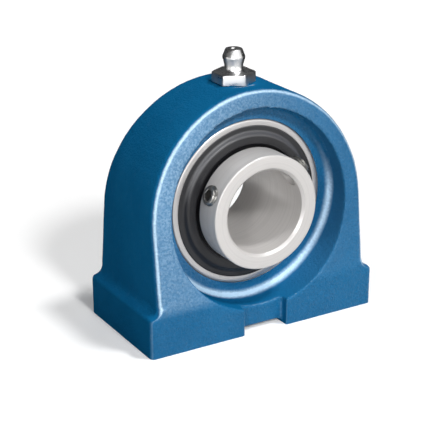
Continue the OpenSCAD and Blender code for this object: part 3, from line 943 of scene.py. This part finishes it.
def stage_floor():
    """A pale floor that curves up into a low wall all round and glows far from the object. It
    looks white to the camera and in metal, and keeps the shadows."""
    flat, bend, height, steps = 2400.0, 300.0, 620.0, 6
    rings = [[(0, 0, 0)], circle(flat - 100.0, 0.0), circle(flat, 0.0)]
    for i in range(1, steps + 1):
        turn = math.radians(90 * i / steps)
        rings.append(circle(flat + bend * math.sin(turn), bend * (1 - math.cos(turn))))
    floor = loft("floor", rings + [circle(flat + bend, height)])
    s = Shader("floor_paper", Roughness=0.9, Specular_IOR_Level=0.0)
    path = s.node("ShaderNodeLightPath").outputs
    rays = ("Is Camera Ray", "Is Glossy Ray", "Is Transmission Ray")
    seen = s.math("MAXIMUM", *(path[ray] for ray in rays))
    colour = s.mix(seen, (0.45, 0.45, 0.45), (0.9, 0.9, 0.9))
    s.surface.inputs["Emission Color"].default_value = (1.0, 1.0, 1.0, 1.0)
    glow = s.span(s.length(s.coordinates()), 1.2, 2.2, 0.16, 1.0)
    s.finish(Base_Color=colour, Emission_Strength=s.math("MULTIPLY", seen, glow))
    floor.data.materials.append(s.material)


def dark_screen():
    """A dark screen behind and beside the object that only metal reflects. It gives the
    nipple its dark edges."""
    distance, low, high = 100.0, 12.0, 120.0
    start, sweep, steps = 60.0, 190.0, 24
    azimuths = [start + sweep * i / steps for i in range(steps + 1)]
    points = [away_from(azimuth, 0.0) * distance for azimuth in azimuths]
    verts = [(p.x, p.y, z) for z in (low, high) for p in points]
    count = len(points)
    faces = [(i, i + 1, count + i + 1, count + i) for i in range(count - 1)]
    screen = mesh_object("screen", verts, faces)
    screen.data.materials.append(Shader("screen_cloth", Base_Color=(0.01, 0.012, 0.015, 1.0)).material)
    screen.visible_camera = False
    screen.visible_diffuse = False
    screen.visible_shadow = False
    screen.visible_transmission = False


def away_from(azimuth, elevation):
    """Unit vector towards a direction. Azimuth 0 is in front, along -Y, and 90 is along +X."""
    a, e = math.radians(azimuth), math.radians(elevation)
    return Vector((math.sin(a) * math.cos(e), -math.cos(a) * math.cos(e), math.sin(e)))


def lamp(name, kind, azimuth, elevation, distance=2.0, target=(0.0, 0.0, 0.03)):
    """A lamp in that direction that looks back at the target."""
    light = bpy.data.lights.new(name, kind)
    holder = bpy.data.objects.new(name, light)
    away = away_from(azimuth, elevation)
    holder.location = Vector(target) + away * distance
    holder.rotation_euler = away.to_track_quat("Z", "Y").to_euler()
    holder.visible_camera = False
    bpy.context.scene.collection.objects.link(holder)
    return holder


def softbox(name, azimuth, elevation, size, level, distance=2.0):
    """An area light. A white surface that faces it renders at the level."""
    holder = lamp(name, "AREA", azimuth, elevation, distance)
    holder.data.shape = "RECTANGLE"
    holder.data.size, holder.data.size_y = size
    holder.data.energy = level * (math.pi * distance) ** 2
    return holder


def sun(name, azimuth, elevation, width, level):
    """A distant lamp of that width in degrees. A white surface that faces it has the level."""
    light = lamp(name, "SUN", azimuth, elevation).data
    light.angle = math.radians(width)
    light.energy = level * math.pi


def spot(name, azimuth, elevation, width, level, distance, target):
    """A soft-edged beam of that width in degrees, for a part of the object."""
    light = lamp(name, "SPOT", azimuth, elevation, distance, target).data
    light.spot_size = math.radians(width)
    light.spot_blend = 1.0
    light.shadow_soft_size = 0.05
    light.energy = level * (2 * math.pi * distance) ** 2


def highlight(name, azimuth, elevation, size, brightness, distance):
    """A bright card that only shows as a reflection and lights nothing else."""
    level = brightness * size[0] * size[1] / (math.pi * distance ** 2)
    softbox(name, azimuth, elevation, size, level, distance).visible_diffuse = False


def studio():
    """Two keys that cast the double shadow, soft lamps near the arch's left, in front and
    behind, a beam past the arch on the collar, and a card for the metal to reflect."""
    sun("key_front", azimuth=0.0, elevation=39.0, width=9.0, level=0.54)
    sun("key_high", azimuth=48.0, elevation=65.0, width=9.0, level=0.5)
    softbox("close", azimuth=-36.0, elevation=16.0, size=(0.05, 0.05), level=0.13, distance=0.12)
    softbox("front", azimuth=12.0, elevation=8.0, size=(0.3, 0.2), level=0.08, distance=0.45)
    rear = softbox("rear", azimuth=148.0, elevation=10.0, size=(0.5, 0.4), level=0.25, distance=0.8)
    rear.visible_glossy = False
    collar = (-0.004, -0.017, 0.034)
    spot("collar_beam", azimuth=-47.0, elevation=20.0, width=13.0, level=0.5, distance=0.4, target=collar)
    highlight("front_card", azimuth=0.0, elevation=22.0, size=(5.0, 1.0), brightness=1.3, distance=1.5)
    world = bpy.data.worlds.new("studio")
    bpy.context.scene.world = world
    world.use_nodes = True
    background = world.node_tree.nodes["Background"]
    background.inputs["Color"].default_value = (1.0, 1.0, 1.0, 1.0)
    background.inputs["Strength"].default_value = 0.08


def camera():
    """The photograph's viewpoint, from a fit of the object's own edges."""
    azimuth, elevation, roll = -30.9269, 21.14983, 0.09744
    stand = Matrix.Translation((-0.193738, -0.313183, 0.172278))
    aim = away_from(azimuth, elevation).to_track_quat("Z", "Y").to_matrix().to_4x4()
    data = bpy.data.cameras.new("camera")
    data.lens = 111.74
    data.sensor_width = 36.0
    data.clip_start = 0.01
    eye = bpy.data.objects.new("camera", data)
    eye.matrix_world = stand @ aim @ Matrix.Rotation(math.radians(roll), 4, "Z")
    bpy.context.scene.collection.objects.link(eye)
    bpy.context.scene.camera = eye


# The whole part on its stage

housing()
outer_ring(turned_steel("outer_ring_steel", (0.53, 0.516, 0.511), 0.32, 0.7))
inner_ring(turned_steel("inner_ring_steel", (0.63, 0.611, 0.597), 0.36, 0.2))
# The seals are painted paler where they face up, as dust and a painted highlight
seal_rubber = moulded("seal_rubber", (0.015, 0.015, 0.017), 0.4, 0.2)
seal(seal_rubber, "seal_front", 0.0)
seal(seal_rubber, "seal_rear", 180.0)
black_steel = worked_metal("black_screw", (0.38, 0.375, 0.36), 0.36)
set_screw(black_steel, "set_screw_a")
set_screw(black_steel, "set_screw_b")
nipple(worked_metal("bright_plating", (0.66, 0.66, 0.66), 0.3, 300.0, 0.0000002))
nipple_spring(worked_metal("spring_wire", (0.55, 0.55, 0.55), 0.25))
dress(worked_metal("pressed_plate", (0.5, 0.5, 0.5), 0.35), "seal_plate_front", "seal_plate_rear")
dress(moulded("cage_polyamide", (0.55, 0.5, 0.38), 0.45), "cage")
balls = [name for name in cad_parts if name.startswith("ball_")]
dress(worked_metal("lapped_ball", (0.8, 0.8, 0.8), 0.06, 900.0, 0.000001), "nipple_ball", *balls)

stage_floor()
dark_screen()
studio()
camera()
bpy.context.scene.view_settings.view_transform = "Standard"
